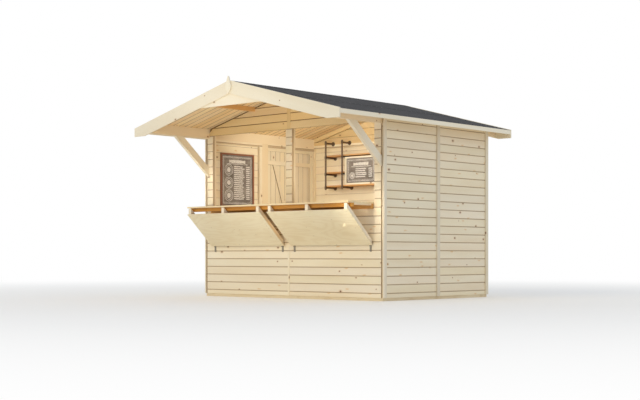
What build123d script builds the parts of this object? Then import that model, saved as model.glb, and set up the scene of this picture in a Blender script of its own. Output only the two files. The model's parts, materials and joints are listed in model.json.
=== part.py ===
from build123d import *
import math
import os

# A timber garden bar: a small boarded hut with a gable roof that runs on forward as a canopy,
# a serving counter outside the two front openings and a double door in the left wall.
# Millimetres. X runs to the right seen from the front, Y into the hut, Z up.
# The origin is the middle of the hut's plan, on the ground.

# Body
body_width = 3000.0          # over the side wall boards
body_depth = 2100.0          # over the front and back wall boards
eave_wall_height = 2168.0    # ground to the roof's underside at the side wall boards
wall_board = 18.0            # outside boards
stud = 45.0                  # square timber of the wall frames
corner_recess = 30.0         # front and back boards stop short of the side boards' outer face
corner_trim_width = 50.0
corner_trim = 18.0           # how far the corner trims stand out
cover_batten_width = 56.0
cover_batten = 17.0
joint_strip_width = 30.0     # thin strip over the joint in the middle of the front wall
joint_strip = 4.0

# Base
bearer_height = 35.0
bearer_width = 70.0
bearer_inset = 6.0           # bearers stand back behind the wall boards
joist_count = 3
floor_board = 19.0
floor_gap = 2.0              # floor to wall frames

# Serving openings
sill_height = 1093.0         # top of the boards under the openings
sill_rail = 39.0             # rail on top of them
opening_top = 2093.0
corner_post_width = 100.0
centre_post_width = 104.0

# Counter
counter_reach = 455.0        # front edge to the wall boards
counter_end_gap = 10.0       # counter's ends to the corner posts' inner edges
counter_board = 18.0
counter_rail = 45.0          # width of the timbers under the counter board
counter_cleat_height = 60.0  # cleat on the wall
counter_cross_rail = 22.0    # depth of the rails from cleat to apron
counter_apron_reach = 395.0  # apron rail's front face to the wall boards

# Flaps under the counter
flap_inner_edge = 58.0       # from the middle of the front
flap_length = 585.0          # along the panel's outer face
flap_panel = 9.0
flap_lean = 46.7             # degrees from upright
flap_batten_width = 45.0
flap_batten_thickness = 52.0
flap_batten_end = 450.0      # plumb cut at the top, out from the wall boards
flap_foot_rise = 8.0         # level cut at the foot, above the hinge pin's axis
flap_hinge_drop = 490.0      # hinge pin's axis, below the counter board
flap_hinge_reach = 7.0       # hinge pin's axis, out from the wall boards
flap_hinge_setback = 9.2     # hinge pin's axis, in from the panel's outer face
flap_hinge_inset = 43.0      # hinge and outer battens, in from the flap's ends
flap_hinge_leaf = 68.0       # how far a leaf reaches from the pin

# Door in the left wall
doorway_front = 50.0         # doorway's front edge, along Y
doorway_width = 939.0
doorway_top = 2030.0
threshold = 25.0
door_post_width = 114.0
door_board = 18.0
door_frame_timber = 20.0
door_rail_width = 55.0
door_rails = (1072.0, 1812.0)  # middles of the two rails between top and bottom
door_meeting_stile = 45.0
door_hinge_stile = 65.0      # on the rear leaf, which has no braces
door_brace_width = 56.0
door_brace_inset = 121.0     # brace's upper end, from the leaf's hinge edge
door_stop = 12.0
door_hinge_reach = 10.0      # hinge pin's axis, out from the boards
door_hinge_inset = 260.0     # hinge straps, from the leaf's ends
door_hinge_plate = 13.0      # how far a fixed plate reaches back from the pin
door_strap_length = 260.0
door_handle_height = 1050.0
door_handle_inset = 35.0     # from the front leaf's meeting edge
door_handle_length = 154.0
door_handle_reach = 38.0     # grip's axis, out from the boards
door_handle_grip = 7.0       # radius
door_handle_leg = 6.0        # radius

# Roof
roof_pitch = 14.7            # degrees
canopy_depth = 1020.0        # front wall boards to the barge boards' face
rear_overhang = 215.0
eave_overhang = 222.0        # side wall boards to the fascia's face
roof_board = 18.0
felt = 4.0
ridge_felt = 3.0
ridge_felt_width = 110.0     # each side of the ridge
fascia = 18.0
fascia_height = 55.0
barge = 18.0
barge_height = 150.0         # across the board
barge_rise = 4.0             # above the felt
barge_tail = 190.0           # level cut at the foot
barge_side_lap = 3.0         # past the fascia's face
purlin_width = 45.0
eave_purlin_bottom = 2060.0
middle_purlin_place = 613.0  # middle of the purlin, from the ridge line
middle_purlin_depth = 50.0
apex_board_bottom = 2300.0
finial_width = 92.0          # at its belly
finial_neck = 50.0           # width at the barge boards' top corner
finial_belly_drop = 72.0     # belly, below that corner
finial_rise = 49.0           # head, above it
brace_width = 90.0
brace_angle = 40.2           # degrees from level
brace_foot = 1563.0          # lowest point, on the wall

# Fittings
hinge_plate = 3.0
hinge_width = 30.0
hinge_barrel = 5.0           # radius
hinge_pin = 3.0              # radius
hinge_web = 3.0              # web from plate to barrel, past the barrel's side
pin_clearance = 0.3
knuckle_gap = 0.5
knuckle_cut = 4.0            # room round the moving knuckle, past the barrel
flap_leaf_gap = 2.0          # fixed barrel to the flap's hinge leaf

# Running clearances
door_gap = 5.0
door_meeting_gap = 6.0
flap_to_counter = 5.0

# Boards and shelf inside
menu_board = 9.0
menu_frame = 22.0            # frame's width and depth
side_menu_front = -813.0     # along Y
side_menu_width = 617.0
side_menu_over_rail = 42.0   # frame's foot, above the wall's middle rail
side_menu_under_rail = 118.0  # frame's head, below the wall's top rail
back_menu_left = -730.0      # along X
back_menu_width = 560.0
back_menu_height = 385.0

# Wall shelf: boards on pipe brackets
shelf_left = -1105.0
shelf_right = -95.0
shelf_board = 18.0
shelf_heights = (1490.0, 1677.0, 1912.0)   # undersides of the three boards
short_shelf_gap = 15.0       # middle board ends short of the writing board
pipe_radius = 12.0
pipe_reach = 206.0           # upright pipe's axis, out from the wall boards
pipe_places = (-1070.0, -765.0, -130.0)
pipe_foot = 30.0             # below the lowest arm
top_arm_rise = 7.0           # top arm's axis, above the joint of wall and gable
pipe_head = 32.0             # above the highest arm
collar_radius = 16.0
collar_length = 36.0
flange_radius = 30.0
flange = 6.0

# Sizes that follow
half_width = body_width / 2
half_depth = body_depth / 2
wall = wall_board + stud
slope = math.tan(math.radians(roof_pitch))
across = 1 / math.cos(math.radians(roof_pitch))   # upright measure of a sloping thickness
boards_end = half_width - corner_recess           # front and back boards, from the middle
opening_end = boards_end - corner_post_width      # serving openings' outer edge
counter_half_length = opening_end - counter_end_gap
roof_front = -half_depth - canopy_depth + barge   # back face of the front barge boards
roof_back = half_depth + rear_overhang - barge
roof_edge = half_width + eave_overhang - fascia   # roof boards' edge
side_menu_foot = sill_height + stud + side_menu_over_rail
side_menu_height = eave_purlin_bottom - stud - side_menu_under_rail - side_menu_foot
top_arm_height = opening_top + top_arm_rise


def roof_under(x):
    """Height of the roof boards' underside at x."""
    return eave_wall_height + (half_width - abs(x)) * slope


def block(x0, x1, y0, y1, z0, z1):
    """A rectangular timber between two corners."""
    corner = (Align.MIN, Align.MIN, Align.MIN)
    return Pos(min(x0, x1), min(y0, y1), z0) * Box(abs(x1 - x0), abs(y1 - y0), z1 - z0, align=corner)


def prism_along_y(outline, y0, y1):
    """An outline of (x, z) points, drawn out from y0 to y1."""
    face = make_face(Polyline(*[(x, y0, z) for x, z in outline], close=True))
    return extrude(face, amount=y1 - y0, dir=(0, 1, 0))


def prism_along_x(outline, x0, x1):
    """An outline of (y, z) points, drawn out from x0 to x1."""
    face = make_face(Polyline(*[(x0, y, z) for y, z in outline], close=True))
    return extrude(face, amount=x1 - x0, dir=(1, 0, 0))


def rod(radius, start, end):
    """A round bar between two points that differ along one axis."""
    direction = Vector(*end) - Vector(*start)
    place = Plane(origin=start, z_dir=direction.normalized())
    return place * Cylinder(radius, direction.length, align=(Align.CENTER, Align.CENTER, Align.MIN))


def wall_block(side, along0, along1, depth0, depth1, z0, z1):
    """A block in a wall: its depths are measured inwards from the boards' outer face."""
    face = half_depth if side in ("front", "back") else half_width
    near, far = face - depth0, face - depth1
    if side == "front":
        return block(along0, along1, -near, -far, z0, z1)
    if side == "back":
        return block(along0, along1, far, near, z0, z1)
    if side == "left":
        return block(-near, -far, along0, along1, z0, z1)
    return block(far, near, along0, along1, z0, z1)


def framed_panel(side, boards, frame, z0, z1, middle_rails=(), end_stud=True):
    """Outside boards on a timber frame. boards and frame are (start, end) along the wall."""
    panel = wall_block(side, *boards, 0, wall_board, z0, z1)
    for start in (frame[0], frame[1] - stud) if end_stud else (frame[0],):
        panel += wall_block(side, start, start + stud, wall_board, wall, z0, z1)
    for bottom in (z0, z1 - stud, *middle_rails):
        panel += wall_block(side, *frame, wall_board, wall, bottom, bottom + stud)
    return panel


def mirrored(part):
    """The same piece on the other side of the middle plane."""
    return mirror(part, about=Plane.YZ)


# Base frame and floor

def long_bearers():
    """Bearers under the front and back walls."""
    x_out, y_out = half_width - bearer_inset, half_depth - bearer_inset
    return [block(-x_out, x_out, y, y + bearer_width, 0, bearer_height)
            for y in (-y_out, y_out - bearer_width)]


def cross_bearers():
    """Bearers from front to back: one under each side wall, and joists evenly between them."""
    y_end = half_depth - bearer_inset - bearer_width
    first = -(half_width - bearer_inset) + bearer_width / 2
    spacing = -2 * first / (joist_count + 1)
    middles = [first + number * spacing for number in range(joist_count + 2)]
    return [block(x - bearer_width / 2, x + bearer_width / 2, -y_end, y_end, 0, bearer_height)
            for x in middles]


def floor():
    x_end, y_end = half_width - wall - floor_gap, half_depth - wall - floor_gap
    return block(-x_end, x_end, -y_end, y_end, bearer_height, bearer_height + floor_board)


# Purlins

def eave_purlin():
    """Right-hand eave purlin, on the side wall's frame."""
    outer = half_width - wall_board
    inner = outer - purlin_width
    outline = [(inner, eave_purlin_bottom), (outer, eave_purlin_bottom),
               (outer, roof_under(outer)), (inner, roof_under(inner))]
    return prism_along_y(outline, roof_front, roof_back)


def middle_purlin():
    """Right-hand middle purlin, let into the gables."""
    inner = middle_purlin_place - purlin_width / 2
    outer = inner + purlin_width
    bottom = roof_under(middle_purlin_place) - middle_purlin_depth
    outline = [(inner, bottom), (outer, bottom), (outer, roof_under(outer)), (inner, roof_under(inner))]
    return prism_along_y(outline, roof_front, roof_back)


right_eave_purlin = eave_purlin()
right_middle_purlin = middle_purlin()
right_purlins = right_eave_purlin + right_middle_purlin


# Walls

def end_wall_panel(side, z0, z1, middle_rails=()):
    """Right half of a front or back wall panel, from the middle to the corner. The back wall's
    boards are fixed to the side wall's last stud there."""
    frame = (0, half_width - wall)
    return framed_panel(side, (0, boards_end), frame, z0, z1, middle_rails, end_stud=side == "front")


def gable_panel(side):
    """Right half of a gable: boards on a bottom rail, a raking rail and a stud at the joint."""
    outline = [(0, opening_top), (boards_end, opening_top),
               (boards_end, roof_under(boards_end)), (0, roof_under(0))]
    frame_end = half_width - wall
    y_face = -half_depth if side == "front" else half_depth
    inward = 1 if side == "front" else -1
    boards = prism_along_y(outline, y_face, y_face + inward * wall_board) if inward > 0 else \
        prism_along_y(outline, y_face - wall_board, y_face)
    frame_y0 = y_face + inward * wall_board
    frame_y1 = y_face + inward * wall
    low, high = min(frame_y0, frame_y1), max(frame_y0, frame_y1)
    rafter = [(0, roof_under(0) - stud * across), (frame_end, roof_under(frame_end) - stud * across),
              (frame_end, roof_under(frame_end)), (0, roof_under(0))]
    panel = boards + prism_along_y(rafter, low, high)
    panel += block(0, frame_end, low, high, opening_top, opening_top + stud)
    centre_stud = [(0, opening_top), (stud, opening_top), (stud, roof_under(stud)), (0, roof_under(0))]
    panel += prism_along_y(centre_stud, low, high)
    return panel - right_purlins


def corner_post():
    """Right-hand strip of wall between the serving opening and the corner."""
    post = wall_block("front", opening_end, boards_end, 0, wall_board, sill_height, opening_top)
    post += wall_block("front", opening_end, half_width - wall, wall_board, wall, sill_height, opening_top)
    return post - right_purlins


def centre_post():
    """Post between the two serving openings, with an edge strip on each side."""
    half = centre_post_width / 2
    return wall_block("front", -half, half, 0, wall, sill_height, opening_top)


def sill():
    """Rail on top of the boards, between the posts of one opening."""
    return wall_block("front", centre_post_width / 2, opening_end, 0, wall, sill_height, counter_bottom)


def side_wall_panel(side, start, end):
    """Side wall panel up to the eave purlin, its boards run on up to the roof."""
    panel = framed_panel(side, (start, end), (start, end), bearer_height, eave_purlin_bottom,
                         (sill_height,))
    outer, inner = half_width, half_width - wall_board
    sign = 1 if side == "right" else -1
    outline = [(sign * inner, eave_purlin_bottom), (sign * outer, eave_purlin_bottom),
               (sign * outer, roof_under(outer)), (sign * inner, roof_under(inner))]
    return panel + prism_along_y(outline, start, end)


def corner_trim_piece(side, start):
    """Upright trim on the side wall at a corner, cut to the roof's slope at the top."""
    sign = 1 if side == "right" else -1
    outer = half_width + corner_trim
    outline = [(sign * half_width, bearer_height), (sign * outer, bearer_height),
               (sign * outer, roof_under(outer)), (sign * half_width, roof_under(half_width))]
    return prism_along_y(outline, start, start + corner_trim_width)


def side_cover_batten():
    """Cover strip over the joint in the middle of the right wall."""
    outer = half_width + cover_batten
    outline = [(half_width, bearer_height), (outer, bearer_height),
               (outer, roof_under(outer)), (half_width, roof_under(half_width))]
    return prism_along_y(outline, -cover_batten_width / 2, cover_batten_width / 2)


def joint_strips():
    """Strips over the middle joint of the front wall: below the sill and on the gable."""
    half = joint_strip_width / 2
    low = block(-half, half, -half_depth - joint_strip, -half_depth, bearer_height,
                flap_hinge_height - flap_hinge_leaf)
    gable_half = cover_batten_width / 2
    outline = [(-gable_half, opening_top), (gable_half, opening_top),
               (gable_half, roof_under(gable_half)), (0, roof_under(0)),
               (-gable_half, roof_under(gable_half))]
    high = prism_along_y(outline, -half_depth - joint_strip, -half_depth)
    return low, high


side_front = -(half_depth - wall_board)           # side wall boards start behind the front boards
side_back = -side_front
doorway_back = doorway_front + doorway_width
door_post_front = doorway_front - door_post_width
threshold_top = bearer_height + threshold
door_bottom = threshold_top + door_gap
door_top = doorway_top - door_gap
stop_depth = door_board + door_frame_timber + door_gap
counter_bottom = sill_height + sill_rail
flap_hinge_height = counter_bottom - flap_hinge_drop


def left_wall_over_door():
    """Boards and head timber above the double door, with the stop under the head."""
    head = wall_block("left", doorway_front, doorway_back, 0, wall, doorway_top, eave_purlin_bottom)
    head += wall_block("left", doorway_front, doorway_back, stop_depth, wall,
                       doorway_top - door_gap - door_stop, doorway_top)
    outer, inner = -half_width, -(half_width - wall_board)
    outline = [(inner, eave_purlin_bottom), (outer, eave_purlin_bottom),
               (outer, roof_under(outer)), (inner, roof_under(inner))]
    return head + prism_along_y(outline, doorway_front, doorway_back)


def door_post(start, end):
    """Post beside the doorway, its outer face run on up to the roof."""
    post = wall_block("left", start, end, 0, wall, bearer_height, eave_purlin_bottom)
    outer, inner = -half_width, -(half_width - wall_board)
    outline = [(inner, eave_purlin_bottom), (outer, eave_purlin_bottom),
               (outer, roof_under(outer)), (inner, roof_under(inner))]
    return post + prism_along_y(outline, start, end)


def door_threshold():
    """Threshold with the stop that the leaves close against at the foot."""
    sill_board = wall_block("left", doorway_front, doorway_back, 0, wall, bearer_height, threshold_top)
    stop = wall_block("left", doorway_front, doorway_back, stop_depth, wall,
                      threshold_top, threshold_top + door_gap + door_stop)
    return sill_board + stop


# Double door

leaf_width = (doorway_width - 2 * door_gap - door_meeting_gap) / 2
door_pin_x = -(half_width + door_hinge_reach)


def door_leaf(start, end, hinge_at_start, hinge_stile):
    """Boards on a meeting stile and four rails. Two braces fall away from the hinge side, or
    instead of them a leaf has a hinge_stile of some width."""
    back0, back1 = door_board, door_board + door_frame_timber
    leaf = wall_block("left", start, end, 0, door_board, door_bottom, door_top)
    hinge_edge, meeting_edge, step = (start, end, 1) if hinge_at_start else (end, start, -1)
    stile_inner = meeting_edge - step * door_meeting_stile
    stiles = [(meeting_edge, stile_inner)]
    if hinge_stile:
        stiles.append((hinge_edge, hinge_edge + step * hinge_stile))
    for edges in stiles:
        leaf += wall_block("left", *sorted(edges), back0, back1, door_bottom, door_top)
    half_rail = door_rail_width / 2
    bottoms = [door_bottom, *(middle - half_rail for middle in door_rails), door_top - door_rail_width]
    for bottom in bottoms:
        leaf += wall_block("left", start, end, back0, back1, bottom, bottom + door_rail_width)
    if hinge_stile:
        return leaf
    across_brace = step * door_brace_width
    head = hinge_edge + step * door_brace_inset
    for low_rail, high in zip(bottoms[:2], bottoms[1:3]):
        low = low_rail + door_rail_width
        outline = [(stile_inner - across_brace, low), (stile_inner, low),
                   (head + across_brace, high), (head, high)]
        leaf += prism_along_x(outline, -(half_width - back0), -(half_width - back1))
    return leaf


def hinge_heights():
    return (door_bottom + door_hinge_inset, door_top - door_hinge_inset)


def door_hinge_fixed(pin_y, step):
    """Plates and end knuckles on the post, with the pin. step points to the doorway."""
    solids = []
    plate_end = pin_y - step * door_hinge_plate
    for height in hinge_heights():
        low, high = height - hinge_width, height + hinge_width
        plate = block(-half_width - hinge_plate, -half_width, plate_end, pin_y - step * door_gap / 2, low, high)
        web = block(door_pin_x, -half_width - hinge_plate, pin_y - step * (hinge_barrel + hinge_web),
                    pin_y - step * door_gap / 2, low, high)
        gap_low, gap_high = height - hinge_width / 2, height + hinge_width / 2
        cut_reach = hinge_barrel + knuckle_cut
        cut = block(door_pin_x - hinge_barrel, -half_width, pin_y - cut_reach, pin_y + cut_reach,
                    gap_low, gap_high)
        barrel = rod(hinge_barrel, (door_pin_x, pin_y, low), (door_pin_x, pin_y, high))
        pin = rod(hinge_pin, (door_pin_x, pin_y, low), (door_pin_x, pin_y, high))
        solids.append(plate + (web + barrel - cut) + pin)
    return solids


def door_hinge_moving(pin_y, step):
    """Straps across the leaf with the middle knuckle round the pin."""
    solids = []
    for height in hinge_heights():
        low = height - hinge_width / 2 + knuckle_gap
        high = height + hinge_width / 2 - knuckle_gap
        strap = block(-half_width - hinge_plate, -half_width, pin_y + step * door_gap / 2,
                      pin_y + step * door_strap_length, low, high)
        web = block(door_pin_x, -half_width - hinge_plate, pin_y + step * door_gap / 2,
                    pin_y + step * (hinge_barrel + hinge_web), low, high)
        barrel = rod(hinge_barrel, (door_pin_x, pin_y, low), (door_pin_x, pin_y, high))
        bore = rod(hinge_pin + pin_clearance, (door_pin_x, pin_y, low), (door_pin_x, pin_y, high))
        solids.append(strap + web + barrel - bore)
    return solids


def door_handle(y_middle):
    """Bow handle on the outside of the front leaf."""
    grip_x = -half_width - door_handle_reach
    low, high = door_handle_height - door_handle_length / 2, door_handle_height + door_handle_length / 2
    handle = rod(door_handle_grip, (grip_x, y_middle, low), (grip_x, y_middle, high))
    for z in (low + door_handle_grip, high - door_handle_grip):
        handle += rod(door_handle_leg, (grip_x, y_middle, z), (-half_width, y_middle, z))
    return handle


# Counter and flaps. The flap's section is set out from its hinge pin: "out" is the distance
# from the wall boards, and offsets are measured inwards from the line through the pin that
# lies along the flap.

lean = math.radians(flap_lean)
plumb_cut = flap_hinge_reach + hinge_plate / 2    # battens' foot, out from the wall boards
flap_pin_y = -half_depth - flap_hinge_reach
flap_foot = flap_hinge_height + flap_foot_rise
panel_outer = -flap_hinge_setback                 # offsets of the panel's faces and the battens'
panel_inner = panel_outer + flap_panel
batten_upper = panel_inner + flap_batten_thickness


def flap_height(out, offset):
    """Height of a line along the flap at a distance out."""
    return flap_hinge_height + (offset + math.cos(lean) * (out - flap_hinge_reach)) / math.sin(lean)


def flap_out(height, offset):
    """Distance out of a line along the flap at a height."""
    return flap_hinge_reach + ((height - flap_hinge_height) * math.sin(lean) - offset) / math.cos(lean)


def flap_panel_board():
    """Right-hand flap's panel, cut level at the foot and square at the top."""
    foot = flap_out(flap_foot, panel_outer)
    top = (foot + flap_length * math.sin(lean), flap_foot + flap_length * math.cos(lean))
    top_inner = (top[0] - flap_panel * math.cos(lean), top[1] + flap_panel * math.sin(lean))
    points = [(foot, flap_foot), top, top_inner, (flap_out(flap_foot, panel_inner), flap_foot)]
    outline = [(-half_depth - out, z) for out, z in points]
    return prism_along_x(outline, flap_inner_edge, flap_outer_edge)


def flap_batten(x):
    """Batten behind the panel, cut plumb and level at both ends."""
    points = [(out, flap_height(out, offset))
              for out, offset in ((0, panel_inner), (flap_batten_end, panel_inner),
                                  (flap_batten_end, batten_upper), (0, batten_upper))]
    x0, x1 = x - flap_batten_width / 2, x + flap_batten_width / 2
    strip = prism_along_x([(-half_depth - out, z) for out, z in points], x0, x1)
    return strip & block(x0, x1, -half_depth - flap_batten_end, -half_depth - plumb_cut,
                         flap_foot, counter_bottom - flap_to_counter)


flap_outer_edge = counter_half_length
flap_hinge_places = (flap_inner_edge + flap_hinge_inset, flap_outer_edge - flap_hinge_inset)
flap_batten_places = (flap_hinge_places[0], sum(flap_hinge_places) / 2, flap_hinge_places[1])


def flap():
    """Right-hand flap: a panel on three battens."""
    board = flap_panel_board()
    for x in flap_batten_places:
        board += flap_batten(x)
    return board


def flap_hinge_fixed():
    """Leaves on the wall below the pin, with the outer knuckles and the pin."""
    solids = []
    for x in flap_hinge_places:
        x0, x1 = x - hinge_width / 2, x + hinge_width / 2
        z_pin, y_pin = flap_hinge_height, flap_pin_y
        leaf = block(x0, x1, -half_depth - hinge_plate, -half_depth, z_pin - flap_hinge_leaf, z_pin)
        web = block(x0, x1, y_pin, -half_depth - hinge_plate, z_pin - hinge_barrel, z_pin)
        barrel = rod(hinge_barrel, (x0, y_pin, z_pin), (x1, y_pin, z_pin))
        cut = block(x - hinge_width / 6, x + hinge_width / 6, y_pin - 2 * hinge_barrel, -half_depth,
                    z_pin - hinge_barrel - flap_leaf_gap, z_pin + hinge_barrel + flap_leaf_gap)
        pin = rod(hinge_pin, (x0, y_pin, z_pin), (x1, y_pin, z_pin))
        solids.append(leaf + web + barrel - cut + pin)
    return solids


def flap_hinge_moving():
    """Leaves on the battens' plumb-cut feet, with the middle knuckle round the pin."""
    solids = []
    for x in flap_hinge_places:
        x0, x1 = x - hinge_width / 6 + knuckle_gap, x + hinge_width / 6 - knuckle_gap
        z_pin, y_pin = flap_hinge_height, flap_pin_y
        y0, y1 = y_pin - hinge_plate / 2, y_pin + hinge_plate / 2
        leaf_foot = z_pin + hinge_barrel + flap_leaf_gap
        leaf = block(x - hinge_width / 2, x + hinge_width / 2, y0, y1, leaf_foot, z_pin + flap_hinge_leaf)
        neck = block(x0, x1, y0, y1, z_pin, leaf_foot)
        barrel = rod(hinge_barrel, (x0, y_pin, z_pin), (x1, y_pin, z_pin))
        bore = rod(hinge_pin + pin_clearance, (x0, y_pin, z_pin), (x1, y_pin, z_pin))
        solids.append(leaf + neck + barrel - bore)
    return solids


def counter_top():
    return block(-counter_half_length, counter_half_length, -half_depth - counter_reach, -half_depth,
                 counter_bottom, counter_bottom + counter_board)


def counter_frame():
    """Wall cleat, apron rail and shallow cross rails under the counter board."""
    top = counter_bottom
    frame = block(-counter_half_length, counter_half_length, -half_depth - counter_rail, -half_depth,
                  top - counter_cleat_height, top)
    apron_y = -half_depth - counter_apron_reach
    frame += block(-counter_half_length, counter_half_length, apron_y, apron_y + counter_rail,
                   top - counter_rail, top)
    for x in (-counter_half_length, -counter_rail / 2, counter_half_length - counter_rail):
        frame += block(x, x + counter_rail, apron_y, -half_depth, top - counter_cross_rail, top)
    return frame


# Roof

def roof_slab(x0, x1, base, thickness, y0, y1):
    """Right-hand slab that follows the roof's slope, base above the boards' underside."""
    low, high = base * across, (base + thickness) * across
    outline = [(x0, roof_under(x0) + low), (x1, roof_under(x1) + low),
               (x1, roof_under(x1) + high), (x0, roof_under(x0) + high)]
    return prism_along_y(outline, y0, y1)


def roof_felt():
    """Felt over both slopes, with a second strip along the ridge."""
    sheet = roof_slab(0, roof_edge + fascia, roof_board, felt, roof_front, roof_back)
    strip = roof_slab(0, ridge_felt_width, roof_board + felt, ridge_felt, roof_front, roof_back)
    right = sheet + strip
    return right + mirrored(right)


def eave_fascia():
    """Right-hand fascia on the roof boards' ends, its top edge bevelled under the felt."""
    outer = roof_edge + fascia
    top = roof_board * across
    outline = [(roof_edge, roof_under(roof_edge) + top - fascia_height),
               (outer, roof_under(roof_edge) + top - fascia_height),
               (outer, roof_under(outer) + top), (roof_edge, roof_under(roof_edge) + top)]
    return prism_along_y(outline, roof_front, roof_back)


barge_top = (roof_board + felt) * across + barge_rise


def barge_board(y0):
    """Right-hand barge board: plumb cut at the ridge and the foot, then a level cut back."""
    end = roof_edge + fascia + barge_side_lap
    drop = barge_height * across
    tail_start = end - barge_tail
    level = roof_under(tail_start) + barge_top - drop
    outline = [(0, roof_under(0) + barge_top), (0, roof_under(0) + barge_top - drop),
               (tail_start, level), (end, level), (end, roof_under(end) + barge_top)]
    return prism_along_y(outline, y0, y0 + barge)


def apex_board():
    """Board that fills the canopy's peak behind the front barge boards."""
    half = middle_purlin_place - purlin_width / 2
    outline = [(-half, apex_board_bottom), (half, apex_board_bottom), (half, roof_under(half)),
               (0, roof_under(0)), (-half, roof_under(half))]
    return prism_along_y(outline, roof_front, roof_front + barge)


def finial():
    """Drop-shaped board over the barge boards' joint, with a round head above the roof."""
    peak = roof_under(0) + barge_top
    right = Spline((0, -barge_height * across), (finial_width / 2, -finial_belly_drop),
                   (finial_neck / 2, 0), (0, finial_rise), tangents=((1, 1), (-1, 0)))
    outline = make_face([right, mirror(right, about=Plane.YZ)])
    front = Plane(origin=(0, roof_front - barge, peak), x_dir=(1, 0, 0), z_dir=(0, -1, 0))
    return extrude(front * outline, amount=barge)


def knee_brace():
    """Right-hand brace from the corner post up to the eave purlin."""
    angle = math.radians(brace_angle)
    foot_cut = brace_width / math.cos(angle)
    reach_low = (eave_purlin_bottom - brace_foot) / math.tan(angle)
    reach_high = (eave_purlin_bottom - brace_foot - foot_cut) / math.tan(angle)
    outline = [(-half_depth, brace_foot), (-half_depth - reach_low, eave_purlin_bottom),
               (-half_depth - reach_high, eave_purlin_bottom), (-half_depth, brace_foot + foot_cut)]
    outer = half_width - wall_board
    return prism_along_x(outline, outer - purlin_width, outer)


# Boards and shelf inside

def side_menu_board():
    """Framed writing board on the inner face of the left wall's boards, between the studs."""
    x_back = -(half_width - wall_board)
    y0, y1 = side_menu_front, side_menu_front + side_menu_width
    z0, z1 = side_menu_foot, side_menu_foot + side_menu_height
    frame = block(x_back, x_back + menu_frame, y0, y1, z0, z1)
    inside = block(x_back + menu_board, x_back + menu_frame, y0 + menu_frame, y1 - menu_frame,
                   z0 + menu_frame, z1 - menu_frame)
    return frame - inside


pipe_y = half_depth - wall_board - pipe_reach     # axes of the upright pipes
shelf_front = pipe_y + collar_radius              # boards' front edge, against the pipes' collars


def back_menu_board():
    """Framed writing board that stands on the lowest shelf."""
    x0, x1 = back_menu_left, back_menu_left + back_menu_width
    y0, y1 = shelf_front, shelf_front + menu_frame
    z0 = shelf_heights[0] + shelf_board
    z1 = z0 + back_menu_height
    frame = block(x0, x1, y0, y1, z0, z1)
    inside = block(x0 + menu_frame, x1 - menu_frame, y0, y1 - menu_board, z0 + menu_frame, z1 - menu_frame)
    return frame - inside


def shelf_boards():
    """Long boards below and above, and between them a short one beside the writing board."""
    short_end = back_menu_left - short_shelf_gap
    ends = (shelf_right, short_end, shelf_right)
    shelf_back = half_depth - wall_board - flange
    return [block(shelf_left, end, shelf_front, shelf_back, height, height + shelf_board)
            for end, height in zip(ends, shelf_heights)]


def pipe_bracket(x, arm_heights):
    """Upright pipe on arms that end in flanges, with a collar at each arm. The top arm's flange
    is on the rails between wall and gable, the others are on the wall boards."""
    low, high = min(arm_heights) - pipe_foot, max(arm_heights) + pipe_head
    bracket = rod(pipe_radius, (x, pipe_y, low), (x, pipe_y, high))
    for z in arm_heights:
        y_wall = half_depth - (wall if z == top_arm_height else wall_board)
        bracket += rod(pipe_radius, (x, pipe_y, z), (x, y_wall, z))
        bracket += rod(flange_radius, (x, y_wall - flange, z), (x, y_wall, z))
        bracket += rod(collar_radius, (x, pipe_y, z - collar_length / 2), (x, pipe_y, z + collar_length / 2))
    return bracket


def shelf_pipes():
    """The brackets. Only those beside the short board have an arm under it."""
    arms = [height - pipe_radius for height in shelf_heights]
    with_short = [*arms, top_arm_height]
    without_short = [arms[0], arms[2], top_arm_height]
    return [pipe_bracket(pipe_places[0], with_short), pipe_bracket(pipe_places[1], with_short),
            pipe_bracket(pipe_places[2], without_short)]


def pair(right_piece):
    """A right-hand piece and its mirror image, as two solids."""
    return [right_piece, mirrored(right_piece)]


def both_sides(nodes, name, right_pieces):
    """Add right-hand pieces and their mirror images as NAME_right and NAME_left."""
    nodes[f"{name}_right"] = right_pieces
    nodes[f"{name}_left"] = [mirrored(piece) for piece in right_pieces]


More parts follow.
